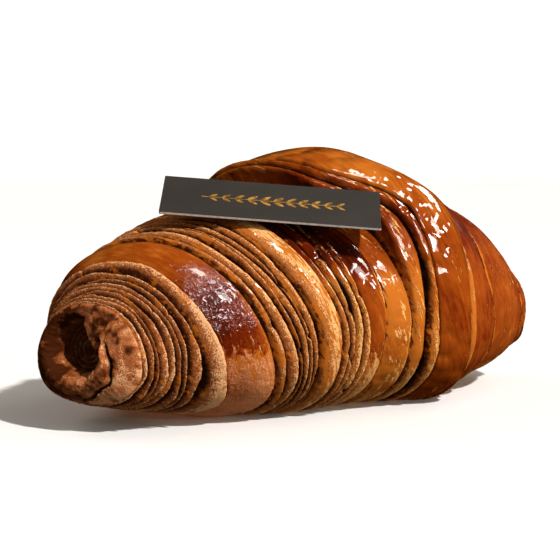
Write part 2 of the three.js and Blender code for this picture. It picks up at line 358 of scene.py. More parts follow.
FIRST_EDGE = -77.3
LEFT_SPLIT = -43.4
RIGHT_SPLIT = 8.0
BANDS = (
    Band(-63.2, Finish.LAMINATION, strips=8, growth=0.07, swell=0.8, crease=2.0, opening=0.3, gap=2.6,
         glaze=0.1, deep=0.7),
    Band(-57.6, Finish.TAN, rise=0.4, crown=0.4, swell=1.0, crease=2.6, opening=0.55, glaze=0.16, deep=0.7),
    Band(LEFT_SPLIT, Finish.GLAZE, rise=-0.3, crown=-0.3, swell=1.5, crease=2.2, glaze=1.0, bare=0.05,
         deep=1.0, dawn=0.7, craze=1.0),
    Band(-40.0, Finish.TAN, rise=0.3, crown=0.3, crease=0.8, opening=0.3, glaze=0.36, deep=0.2),
    Band(-27.0, Finish.LAMINATION, strips=5, growth=-0.06, rise=0.2, swell=0.9, crease=2.0, gap=1.7,
         glaze=0.14),
    Band(-18.5, Finish.TAN, rise=0.8, crown=0.2, swell=1.2, crease=2.4, opening=0.55, glaze=0.36, deep=0.1),
    Band(-7.5, Finish.LAMINATION, strips=4, rise=0.2, crown=-1.6, swell=0.9, crease=2.4, opening=0.45,
         glaze=0.7, bare=0.35, painted_shade=0.75),
    Band(-0.5, Finish.GLAZE, rise=-0.1, crown=-3.6, swell=0.5, crease=1.6, glaze=1.0, bare=-0.35, deep=0.5,
         painted_shade=0.7),
    Band(RIGHT_SPLIT, Finish.TAN, rise=0.2, crown=-4.4, swell=0.25, crease=0.15, glaze=0.7, bare=-0.7,
         deep=0.15, painted_shade=0.5, shine=0.9),
    Band(12.0, Finish.TAN, rise=0.5, crown=5.6, swell=0.5, crease=0.2, glaze=0.67, bare=-0.6, deep=0.15,
         painted_shade=0.6, shine=0.8),
    Band(16.0, Finish.TAN, rise=1.5, crown=7.4, swell=0.9, opening=0.42, glaze=0.7, bare=0.0, deep=0.3,
         painted_shade=0.4),
    Band(31.0, Finish.GLAZE, rise=1.8, crown=8.6, swell=1.9, crease=1.3, opening=0.42, glaze=1.0, deep=0.6,
         dawn=0.35),
    Band(36.5, Finish.TAN, rise=0.9, crown=4.2, swell=0.9, crease=0.9, opening=0.9, glaze=0.62, deep=0.1,
         painted_shade=0.35, shine=0.4),
    Band(48.5, Finish.TAN, rise=0.1, crown=0.9, swell=1.3, crease=0.8, opening=1.0, glaze=1.0, deep=0.66,
         painted_shade=0.3, shine=0.02),
    Band(72.0, Finish.TAN, rise=0.1, crown=0.1, swell=1.1, crease=0.4, opening=1.4, glaze=0.9, deep=0.56,
         dawn=-0.1, shine=0.02),
    Band(76.5, Finish.TAN, swell=0.4, crease=0.3, opening=1.0, glaze=0.85, deep=0.52, shine=0.02),
)


@dataclass(frozen=True)
class Strip:
    """One lamination edge or one smooth skin."""

    band: Band
    width: float


@dataclass(frozen=True)
class Edge:
    """Where a strip starts, and the depth and half-width of the gap there."""

    place: float
    depth: float
    opening: float


@dataclass
class Sheet:
    """Rows of surface points with the values that its finish reads.

    shade is how deep in a gap a point lies, which the finish paints as shade; crest how high on its strip,
    lean how far across it from left to right, tone how pale it is, flat 1 on an end face and skinned 1 where
    the dough under the glaze is smooth; station and angle are its place on the roll. Band tells of the
    others.
    """

    points: list[Array] = field(default_factory=list)
    values: dict[str, list[Array]] = field(default_factory=dict)
    names: tuple[str, ...] = (
        "shade", "crest", "tone", "glaze", "station", "angle",
        "flat", "skinned", "deep", "shine", "craze", "lean",
    )

    def add(self, points: Array, **values: Array | float) -> None:
        """Adds rows.

        Args:
            points: Rows by columns by three.
            **values: The named values that aren't zero.
        """
        self.points.append(points)
        for name in self.names:
            value = np.broadcast_to(values.get(name, 0.0), points.shape[:2])
            self.values.setdefault(name, []).append(value)

    def stacked(self) -> tuple[Array, dict[str, Array]]:
        """Points and named values of all rows together."""
        return np.concatenate(self.points), {n: np.concatenate(v) for n, v in self.values.items()}


@dataclass(frozen=True)
class Curl:
    """Open curl of a tip, as relief on its domed end face.

    Face places are sideways (positive to the viewer's side) and upward distances from the face's middle.
    The hollow is a drop that reaches up to the rim; a flap folds into it from above, between two turns
    seen from the flap's tip, with a slit beside it; a lip starts beside the flap and runs clockwise round
    the hollow, with a crease behind it.
    """

    side: int
    ring: float
    dome: float
    scale: float = 1.0
    hollow: Span = (-2.4, 2.4)
    hollow_foot: float = math.radians(-100.0)
    hollow_near: float = 6.9
    hollow_far: float = 9.8
    hollow_swing: float = 0.6
    hollow_wall: Span = (0.72, 1.0)
    hollow_shade: float = 0.46
    depth: float = 9.0
    sheet_pitch: float = 1.3
    sheet_depth: float = 0.8
    flap_tip: Span = (2.2, 1.9)
    flap_from: float = 62.0
    flap_to: float = 116.0
    flap_wobble: float = 6.0
    flap_length: float = 12.5
    flap_sink: float = 0.7
    flap_depth: float = 3.6
    slit_width: float = 0.45
    slit_end: Span = (7.5, 9.5)
    lip: float = 1.5
    lip_width: float = 4.6
    lip_start: float = math.radians(20.0)
    lip_end: Span = (3.6, 4.4)
    crease: float = 1.7
    crease_width: float = 0.42
    crease_end: Span = (1.8, 2.6)

    def flap(self, u: Array, v: Array, noise: Noise) -> tuple[Array, Array, Array]:
        """The folded flap.

        Args:
            u: Sideways face places.
            v: Upward face places.
            noise: Noise for its uneven edges.

        Returns:
            Where it lies, its relief and the slit beside it.
        """
        du, dv = u - self.flap_tip[0], v - self.flap_tip[1]
        far = np.hypot(du, dv)
        turn = np.degrees(np.arctan2(dv, du)) + self.flap_wobble * noise.at(0.4 * far, 1.0, 9.0)
        soft = 3.0 + 12.0 / (1.0 + far)
        there = smooth((turn - self.flap_from) / soft, -1.0, 1.0)
        there = there * (1.0 - smooth((turn - self.flap_to) / soft, -1.0, 1.0))
        fold = np.clip(1.0 - far / self.flap_length, 0.0, 1.0)
        slit = bell(np.radians(turn - self.flap_from + 2.0) * far, self.slit_width)
        slit = slit * (1.0 - smooth(far, *self.slit_end)) * (np.cos(np.radians(turn - self.flap_from)) > 0)
        return there, -self.flap_sink - self.flap_depth * fold**1.1, slit

    def rolled_lip(self, turn: Array, beyond: Array) -> tuple[Array, Array]:
        """The lip round the hollow.

        Args:
            turn: Angles round the hollow.
            beyond: Distances from the hollow's edge.

        Returns:
            Its ridge and the crease behind it, both from 0 to 1.
        """
        along = np.mod(self.lip_start - turn, 2 * math.pi)
        width = self.lip_width * np.clip(0.12 + along, 0.12, 1.0)
        there = smooth(along, 0.0, 0.2) * (1.0 - smooth(along, *self.lip_end))
        across = np.clip(beyond / width, 0, 1)
        ridge = np.clip(1.0 - np.abs(2.0 * across - 1.0) ** 2.4, 0, 1)
        crease = bell(beyond - width, self.crease_width) * (1.0 - smooth(along, *self.crease_end))
        return ridge * there, crease * there

    def height(self, across: Array, upward: Array, noise: Noise) -> tuple[Array, Array]:
        """Relief of the end face and how deep in shade it lies.

        Args:
            across: Sideways face places.
            upward: Upward face places.
            noise: Noise for the uneven edges.

        Returns:
            Outward relief in millimetres and shade from 0 to 1.
        """
        u, v = -self.side * across / self.scale, upward / self.scale
        ragged = 0.4 * noise.at(0.45 * u, 0.45 * v, 3.0) + 0.2 * noise.at(1.6 * u, 1.6 * v, 5.0)
        du, dv = u - self.hollow[0], v - self.hollow[1]
        turn, far = np.arctan2(dv, du), np.hypot(du, dv)
        swing = 0.5 - 0.5 * np.cos(turn - self.hollow_foot)
        edge = self.hollow_near + (self.hollow_far - self.hollow_near) * swing**self.hollow_swing + ragged
        inside = 1.0 - smooth(far / edge, *self.hollow_wall)
        plies = np.sin(2 * math.pi * far / self.sheet_pitch + turn)
        hollow = -self.depth * inside * (0.8 + 0.2 * (1 - far / edge)) + self.sheet_depth * plies * inside
        on_flap, flap, slit = self.flap(u, v, noise)
        ridge, crease = (part * (1.0 - on_flap) for part in self.rolled_lip(turn, far - edge))
        relief = hollow * (1.0 - on_flap) + flap * on_flap + self.lip * ridge
        relief = relief - self.crease * np.maximum(crease, slit)
        # Painted shade, deepest in the hollow and along the crease and the slit
        shade = self.hollow_shade * np.clip(-(relief + 1.2) / (0.6 * self.depth), 0, 1)
        shade = np.maximum(shade * (1 - 0.5 * on_flap), np.maximum(0.85 * crease, 0.75 * slit))
        return relief * self.scale, shade


LEFT_CURL = Curl(side=-1, ring=FIRST_EDGE, dome=4.4)
RIGHT_CURL = Curl(side=1, ring=BANDS[-1].edge, dome=4.0, scale=0.72)


class Lane(IntEnum):
    """Lanes of noise that set the features of a strip apart."""

    DEPTH = 60
    GAPE = 90
    LIFT = 120
    RIPPLE = 160
    PLIES = 220
    TONE = 300
    GLAZE = 400
    DEEP = 500
    RIM = 700


@dataclass
class Pastry:
    """The croissant's whole skin: bands of strips and smooth wraps between two curled tips.

    Edges slant by skew behind, hook back at the bottom and stand upright on the viewer's side, over the
    stations and heights that their spans give.
    """

    roll: Roll
    columns: int = 400
    strip_rows: int = 14
    row_pitch: float = 0.5
    cap_rows: int = 64
    crown_sharpness: float = 1.5
    belly_relief: float = 0.3
    drift: float = 0.34
    sway: float = 0.6
    flutter: float = 0.06
    skew: float = 11.0
    hook: float = 9.0
    hook_in: Span = (-48.0, -18.0)
    hook_down: Span = (-0.25, 1.0)
    upright: float = 9.7
    upright_in: Span = (-18.5, 12.0)
    upright_up: Span = (-0.15, 0.85)
    upright_front: Span = (0.28, 0.74)
    ease_out: Span = (16.0, 48.5)
    gap_width: float = 0.5
    gap_share: float = 0.23
    shade_spread: float = 1.7
    shade_depth: float = 1.2
    wiped_off: float = 0.8
    ply_width: float = 0.09
    grain_depth: float = 0.15
    lean_reach: float = 5.6
    chip_limit: float = 8.0
    chip_depth: float = 0.9
    chip_most: int = 4
    chip_width: Span = (0.012, 0.04)
    chip_share: Span = (0.3, 1.0)
    chip_seed: int = 1000
    rim_rise: float = 0.5
    weld: float = 2e-6
    girth: float = 34.0
    grain_pull: float = 3.0
    warm_along: Span = (-70.0, 15.0)
    ring_centre: Span = (31.7, 17.3)
    lane_gap: float = 7.91
    noise: Noise = field(default_factory=lambda: Noise(11))
    strips: list[Strip] = field(init=False, default_factory=list)
    edges: list[Edge] = field(init=False, default_factory=list)
    angle: Array = field(init=False)
    up: Array = field(init=False)
    toward: Array = field(init=False)

    def __post_init__(self) -> None:
        """Lists the strips and the edges between them."""
        self.angle = -0.5 * math.pi + 2.0 * math.pi * np.arange(self.columns + 1) / self.columns
        self.angle[-1] = self.angle[0]
        self.up, self.toward = np.sin(self.angle), np.cos(self.angle)
        last = FIRST_EDGE
        for band in BANDS:
            count = np.arange(band.strips)
            widths = (1.0 + band.growth * count) * (1.0 + 0.3 * self.noise.at(count * 3.3, band.edge))
            stops = last + (band.edge - last) * np.concatenate([[0.0], np.cumsum(widths) / widths.sum()])
            for k in count:
                depth, opening = (band.gap, self.gap_width) if k else (band.crease, band.opening)
                self.strips.append(Strip(band, stops[k + 1] - stops[k]))
                self.edges.append(Edge(float(stops[k]), depth, opening))
            last = band.edge
        self.edges.append(Edge(last, BANDS[-1].crease, BANDS[-1].opening))

    def wave(self, waves: float, lane: float) -> Array:
        """Noise that closes round the roll in about so many waves; each lane is another line of it."""
        reach, (x, y) = waves / math.pi, self.ring_centre
        return self.noise.at(reach * self.toward + x, reach * self.up + y, self.lane_gap * lane)

    def edge_station(self, number: int) -> Array:
        """Wandering station of an edge round the roll.

        Args:
            number: Number of the edge.

        Returns:
            Stations for every column.
        """
        place = self.edges[number].place
        drift = self.drift * min(s.width for s in self.strips[max(0, number - 1) : number + 1])
        slow = self.sway * self.wave(4.0, 0.05 * place)
        quick = self.flutter * min(1.0, drift) * self.wave(60.0, number + 0.5)
        behind = smooth(-self.toward, -0.5, 1.0) * (1.0 - (place / FIRST_EDGE) ** 2)
        low = smooth(-self.up, *self.hook_down) * smooth(place, *self.hook_in)
        front = smooth(self.up, *self.upright_up) * smooth(self.toward, *self.upright_front)
        turned = self.upright * front * smooth(place, *self.upright_in) - self.hook * low
        turned = turned * (1.0 - smooth(place, *self.ease_out))
        wander = slow + drift * self.wave(5.0, number) + quick
        return place + turned + wander - self.skew * behind

    def edge_depth(self, number: int) -> Array:
        """Depth of an edge's gap for every column."""
        return self.edges[number].depth * (0.9 + 0.45 * self.wave(12.0, number + Lane.DEPTH))

    def edge_opening(self, number: int, width: Array) -> Array:
        """Half-width of an edge's gap for every column, beside a strip of that width."""
        gape = np.maximum(0.0, self.wave(8.0, number + Lane.GAPE)) ** 1.5
        return np.minimum(self.edges[number].opening * (0.55 + 1.6 * gape), self.gap_share * width)

    def base(self, number: int) -> Array:
        """Lift of a strip's skin over the plain roll.

        Args:
            number: Number of the strip.

        Returns:
            Lifts for every column.
        """
        band = self.strips[number].band
        above = band.rise + (band.crown - band.rise) * np.maximum(0, self.up) ** self.crown_sharpness
        lift = np.where(self.up < 0, band.rise * (1 + (1 - self.belly_relief) * self.up), above)
        if band.finish is not Finish.LAMINATION:
            return lift + 0.3 * self.wave(5.0, number + Lane.LIFT)
        lift = lift + 0.4 * self.noise.at(3.7 * number, 0.5) + 0.55 * self.wave(6.0, number + Lane.LIFT)
        return lift + 0.1 * self.wave(26.0, number + Lane.RIPPLE)

    def breaks(self, number: int) -> Array:
        """Places where a thin strip is chipped.

        Args:
            number: Number of the strip.

        Returns:
            Depth of the chips for every column, from 0 to 1.
        """
        chips = np.zeros(self.angle.shape)
        strip = self.strips[number]
        if strip.band.finish is Finish.GLAZE or strip.width > self.chip_limit:
            return chips
        draw = np.random.default_rng(self.chip_seed + number)
        for _ in range(draw.integers(0, self.chip_most)):
            place = draw.uniform(-math.pi, math.pi)
            width = draw.uniform(*self.chip_width)
            away = np.abs(np.angle(np.exp(1j * (self.angle - place))))
            chips = np.maximum(chips, draw.uniform(*self.chip_share) * bell(away, width))
        return chips

    def glaze_cover(self, number: int) -> Array:
        """How far the brushed glaze covers a strip, from 0 to 1 for every column."""
        low = self.strips[number].band.bare + 0.15 * self.wave(14.0, number + Lane.GLAZE)
        return smooth(self.up, low - 0.4, low + 0.4)

    def depth_of_glaze(self, number: int, t: Array) -> Array:
        """How dark a strip's glaze is.

        Args:
            number: Number of the strip.
            t: Places across it from 0 to 1.

        Returns:
            Darkness for every row and column.
        """
        band = self.strips[number].band
        deep = band.deep + 0.1 * self.wave(6.0, number + Lane.DEEP)
        deep = deep - band.dawn * np.maximum(smooth(self.up, 0.55, 0.9), smooth(t, 0.72, 1.0))
        # Painted shade: darker high on the viewer's side, mostly where the card casts its shadow
        return deep + band.painted_shade * smooth(self.up, 0.2, 0.6) * smooth(self.toward, -0.2, 0.3)

    def strip_sheet(self, sheet: Sheet, number: int) -> None:
        """Adds the rows of one strip.

        Args:
            sheet: Where the rows go.
            number: Number of the strip.
        """
        strip = self.strips[number]
        band, kind = strip.band, RELIEFS[strip.band.finish]
        count = max(self.strip_rows, int(strip.width / self.row_pitch))
        t = (0.5 - 0.5 * np.cos(math.pi * np.arange(count) / count))[:, None]
        low, high = self.edge_station(number), self.edge_station(number + 1)
        width = high - low
        station = low + width * t
        near, far = t * width, (1 - t) * width
        crown = 1.0 - np.abs(2 * t**kind.lean - 1) ** 2.4
        lift = self.base(number)
        relief = lift + band.swell * crown
        dark, clear, wiped = 0.0, 1.0, 1.0
        for edge, beside, away in ((number, number - 1, near), (number + 1, number + 1, far)):
            opening, depth = self.edge_opening(edge, width), self.edge_depth(edge)
            at_edge = bell(away, opening)
            if 0 <= beside < len(self.strips):
                relief = relief + np.minimum(0.0, self.base(beside) - lift) * bell(away, 2 * opening)
            relief = relief - depth * at_edge
            # Painted shade of this gap, reaching wider than the gap itself
            shaded = bell(away, self.shade_spread * opening) * np.minimum(1.0, depth / self.shade_depth)
            dark = np.maximum(dark, shaded)
            clear = clear * (1 - at_edge)
            wiped = wiped * (1 - self.wiped_off * at_edge)
        chip = self.breaks(number) * crown
        shown = smooth(self.wave(10.0, number + Lane.PLIES), -0.3, 0.5)
        lines = bell(np.mod(t * kind.plies + 0.5, 1.0) - 0.5, self.ply_width) * shown * crown
        dents = self.noise.at(0.12 * station, 3.1 * self.toward + 9, 3.1 * self.up)
        grains = self.noise.at(1.3 * station, 40 * self.toward, 40 * self.up)
        glaze = band.glaze * self.glaze_cover(number)
        grainy = self.grain_depth * (1.0 - np.clip(glaze, 0, 1))
        relief = relief - self.chip_depth * chip - kind.ply_depth * lines
        relief = relief + kind.dents * dents * crown + grainy * grains * clear
        # Painted shade: dark in the gaps, fainter in the ply grooves and the chips
        shade = dark + 0.35 * lines * (kind.ply_depth > 0) + 0.5 * chip
        skin = band.finish is not Finish.LAMINATION
        # Where the key light falls on the viewer's side; the glaze crazes and gets painted glints only there
        lit = bell(self.up - 0.5, 0.24) * smooth(self.toward, 0.1, 0.6)
        sheet.add(
            self.roll.point(station, self.angle, self.roll.radius(station) + relief),
            shade=np.clip(shade, 0, 1),
            crest=crown,
            tone=0.5 + 0.35 * self.wave(4.0, number + Lane.TONE) + 0.35 * self.noise.at(2.3 * number, 4.5),
            glaze=np.clip(glaze * wiped, 0, 1),
            station=station,
            angle=self.angle,
            skinned=1.0 if band.finish is Finish.GLAZE else 0.0,
            deep=self.depth_of_glaze(number, t),
            shine=band.shine,
            craze=band.craze * lit,
            lean=np.clip(near / self.lean_reach, 0.0, 0.75) + 0.25 * t if skin else t,
        )

    def cap_sheet(self, sheet: Sheet, curl: Curl) -> None:
        """Adds the rows of a curled tip, from the middle of its end face to its rim.

        Args:
            sheet: Where the rows go.
            curl: The curl's sizes.
        """
        station = self.edge_station(0 if curl.side < 0 else len(self.edges) - 1)
        rim = self.roll.point(station, self.angle, self.roll.radius(station) + self.rim_rise)
        middle, _, _ = self.roll.axis(np.asarray(curl.ring))
        along = self.roll.outward(curl.ring) * curl.side
        share = np.linspace(0.0, 1.0, self.cap_rows)[:, None]
        side, high = self.roll.spread(self.angle)
        reach = float(self.roll.radius(np.asarray(curl.ring)))
        across, upward = share * side * reach, share * high * reach
        relief, shade = curl.height(across, upward, self.noise)
        inner = 1.0 - smooth(share, 0.82, 1.0)
        out = curl.dome * (1.0 - share**2.6) ** 0.8 + relief * inner
        out = out + 0.12 * self.noise.at(1.1 * across, 1.1 * upward, 2.0) * inner
        points = middle + share[..., None] * (rim - middle) + out[..., None] * along
        points[..., 2] = np.maximum(points[..., 2], 0.0)
        rows = (points, shade * inner, share, across, upward)
        if curl.side > 0:
            rows = tuple(np.flip(r, axis=0) for r in rows)
        points, shade, share, across, upward = rows
        toward = -curl.side * across
        facing = smooth(toward, -5.0, 4.0)
        mottled = self.noise.at(0.32 * across, 0.32 * upward, 6.0)
        mottled = mottled + 0.6 * self.noise.at(1.1 * across, 1.1 * upward, 2.0)
        # Painted shade, partly darker baking: lean falls away from the viewer's side and towards the top,
        # darkening the face there, and rises in the hollow under its painted shade
        lean = np.clip(0.3 + 0.02 * toward - 0.02 * upward, 0.05, 0.6) + shade
        lean = lean + (0.15 + 0.4 * facing) * self.noise.at(0.5 * across, 0.5 * upward, 8.0)
        frayed = smooth(share, 0.9, 1.0) * smooth(self.wave(44.0, Lane.RIM), -0.3, 0.5)
        sheet.add(
            points,
            shade=np.clip(shade, 0, 1),
            crest=0.6,
            # painted shade as above: the face is paler towards the viewer's side
            tone=0.4 + 0.35 * mottled + 0.012 * toward,
            glaze=-0.25,
            station=curl.ring,
            angle=self.angle,
            flat=1.0,
            skinned=facing * np.clip(0.3 + 0.5 * mottled, 0.0, 0.55),
            deep=0.6,
            shine=0.5,
            lean=lean + 0.7 * frayed,
        )

    def closing_row(self, sheet: Sheet, points: Array, station: Array | float, **values: float) -> None:
        """Adds one row of points in full shade."""
        sheet.add(points[None], shade=1.0, station=station, angle=self.angle, **values)

    def end(self, sheet: Sheet, edge: int) -> None:
        """Closes a stretch of skin at an edge, by a curled tip or by a point on the axis.

        Args:
            sheet: Where the rows go.
            edge: Number of the edge.
        """
        curl = {0: LEFT_CURL, len(self.strips): RIGHT_CURL}.get(edge)
        if curl:
            self.cap_sheet(sheet, curl)
            return
        place = self.edges[edge].place
        middle, _, _ = self.roll.axis(np.asarray(place))
        self.closing_row(sheet, np.broadcast_to(middle, (len(self.angle), 3)), place)

    def stretch(self, first: int, last: int) -> Sheet:
        """Skin from one strip to another, closed at both ends.

        Args:
            first: Number of the first strip.
            last: Number of the strip after the last one.

        Returns:
            The rows of that stretch.
        """
        sheet = Sheet()
        self.end(sheet, first)
        for number in range(first, last):
            self.strip_sheet(sheet, number)
        station = self.edge_station(last)
        lift = np.minimum(self.base(min(last, len(self.strips) - 1)), self.base(last - 1))
        reach = self.roll.radius(station) + (lift - self.edge_depth(last))
        self.closing_row(sheet, self.roll.point(station, self.angle, reach), station, tone=0.5, lean=1.0)
        self.end(sheet, last)
        return sheet

    def strip_after(self, place: float) -> int:
        """Number of the first strip of the band that starts at a station."""
        return int(np.argmin([abs(edge.place - place) for edge in self.edges]))

    def piece(self, name: str, sheet: Sheet, shift: Array, finish: bpy.types.Material) -> bpy.types.Object:
        """Piece from a sheet that closes round the roll.

        Args:
            name: Name of the piece.
            sheet: Rows of points and values.
            shift: Move from the roll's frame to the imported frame, in millimetres.
            finish: Its material.

        Returns:
            The new object.
        """
        points, values = sheet.stacked()
        rows, columns = points.shape[:2]
        points = points.reshape(-1, 3)
        grid = bmesh.new()
        bmesh.ops.create_grid(grid, x_segments=columns - 1, y_segments=rows - 1, size=1.0)
        piece = piece_of(grid, name, finish)
        mesh = piece.data
        mesh.vertices.foreach_set("co", ((points + shift) * MM).astype(np.float32).ravel())
        station, angle, flat = (values.pop(label).reshape(-1, 1) for label in ("station", "angle", "flat"))
        wound = np.hstack([self.girth * np.cos(angle), self.girth * np.sin(angle), self.grain_pull * station])
        values["warm"] = smooth(station, *self.warm_along)
        values["grain"] = wound * (1 - flat) + points * flat
        for label, value in values.items():
            kind, part = ("FLOAT_VECTOR", "vector") if label == "grain" else ("FLOAT", "value")
            layer = mesh.attributes.new(label, kind, "POINT")
            layer.data.foreach_set(part, np.ascontiguousarray(value, np.float32).ravel())
        welded = bmesh.new()
        welded.from_mesh(mesh)
        bmesh.ops.remove_doubles(welded, verts=welded.verts, dist=self.weld)
        bmesh.ops.recalc_face_normals(welded, faces=welded.faces)
        welded.to_mesh(mesh)
        welded.free()
        mesh.shade_smooth()
        return piece


class Sock:
    """A shader output that takes part in plain arithmetic."""

    def __init__(self, graph: "Graph", socket: bpy.types.NodeSocket) -> None:
        """Wraps an output of a graph."""
        self.graph = graph
        self.socket = socket

    def __add__(self, other: "Sock | float") -> "Sock":
        """Sum."""
        return self.graph.math("ADD", self, other)

    def __sub__(self, other: "Sock | float") -> "Sock":
        """Difference."""
        return self.graph.math("SUBTRACT", self, other)

    def __rsub__(self, other: float) -> "Sock":
        """Difference from a number."""
        return self.graph.math("SUBTRACT", other, self)

    def __mul__(self, other: "Sock | float") -> "Sock":
        """Product."""
        return self.graph.math("MULTIPLY", self, other)

    __radd__ = __add__
    __rmul__ = __mul__


class Graph:
    """Node tree of one material."""

    def __init__(self, name: str) -> None:
        """Starts an empty material.

        Args:
            name: Its name.
        """
        self.material = bpy.data.materials.new(name)
        self.material.use_nodes = True
        self.tree = self.material.node_tree
        self.tree.nodes.clear()

    def node(self, kind: str, inputs: dict, **settings: object) -> bpy.types.Node:
        """Adds any node.

        Args:
            kind: Node type, without the words that all shader nodes start with.
            inputs: Values or outputs for its inputs, by name or number.
            **settings: Properties to set on it first.

        Returns:
            The node.
        """
        made = self.tree.nodes.new("ShaderNode" + kind)
        for key, value in settings.items():
            setattr(made, key, value)
        for key, value in inputs.items():
            if isinstance(value, Sock):
                self.tree.links.new(value.socket, made.inputs[key])
            else:
                made.inputs[key].default_value = value
        return made

    def read(self, output: int | str, kind: str, inputs: dict, **settings: object) -> Sock:
        """Adds any node, and gives one of its outputs."""
        return Sock(self, self.node(kind, inputs, **settings).outputs[output])

    def math(self, operation: str, first: "Sock | float", second: "Sock | float") -> Sock:
        """Arithmetic on two values."""
        return self.read(0, "Math", {0: first, 1: second}, operation=operation)

    def step(self, value: Sock, span: Span) -> Sock:
        """Smooth step of a value, from 0 at the start of the span to 1 at its end."""
        inputs = {0: value, 1: span[0], 2: span[1], 3: 0.0, 4: 1.0}
        return self.read(0, "MapRange", inputs, interpolation_type="SMOOTHSTEP")

    def mix(self, first: Sock | Colour, second: Sock | Colour, share: Sock | float) -> Sock:
        """Blend of two colours, with that share of the second."""
        return self.read(2, "Mix", {0: share, 6: first, 7: second}, data_type="RGBA")

    def stored(self, name: str, output: str = "Fac") -> Sock:
        """A number stored on the mesh, or a vector where the output is Vector."""
        return self.read(output, "Attribute", {}, attribute_name=name)

    def object_place(self) -> Sock:
        """Place on the object in metres."""
        return self.read("Object", "TexCoord", {})

    def stretched(self, place: Sock, scale: tuple[float, float, float]) -> Sock:
        """A place scaled along each axis."""
        return self.read(0, "VectorMath", {0: place, 1: scale}, operation="MULTIPLY")

    def noise(self, place: Sock, scale: float, detail: float, roughness: float, swirl: float = 0.0) -> Sock:
        """Soft noise round a half.

        Args:
            place: Where to read it.
            scale: Swings to a unit of place.
            detail: How many finer layers.
            roughness: How strong the finer layers are.
            swirl: How far it is drawn into curls.

        Returns:
            The noise.
        """
        inputs = {"Vector": place, "Scale": scale, "Distortion": swirl}
        return self.read("Fac", "TexNoise", {**inputs, "Detail": detail, "Roughness": roughness})

    def domes(self, place: Sock, scale: float, melt: float) -> Sock:
        """Distance from the middles of a pattern of cells, which melt together by a share."""
        inputs = {"Vector": place, "Scale": scale, "Smoothness": melt}
        return self.read("Distance", "TexVoronoi", inputs, feature="SMOOTH_F1")

    def bump(self, height: Sock, strength: float, distance: float) -> Sock:
        """Normal bumped by a height in units of a distance in metres."""
        return self.read(0, "Bump", {"Strength": strength, "Distance": distance, "Height": height})

    def surface(self, **inputs: object) -> Sock:
        """One principled surface; its inputs are named with _ for a space."""
        return self.read(0, "BsdfPrincipled", {key.replace("_", " "): value for key, value in inputs.items()})

    def blend(self, first: Sock, second: Sock, share: Sock) -> Sock:
        """Blend of two surfaces, with that share of the second."""
        return self.read(0, "MixShader", {0: share, 1: first, 2: second})

    def finish(self, surface: Sock) -> bpy.types.Material:
        """Ends the material with its surface."""
        self.node("OutputMaterial", {0: surface})
        return self.material


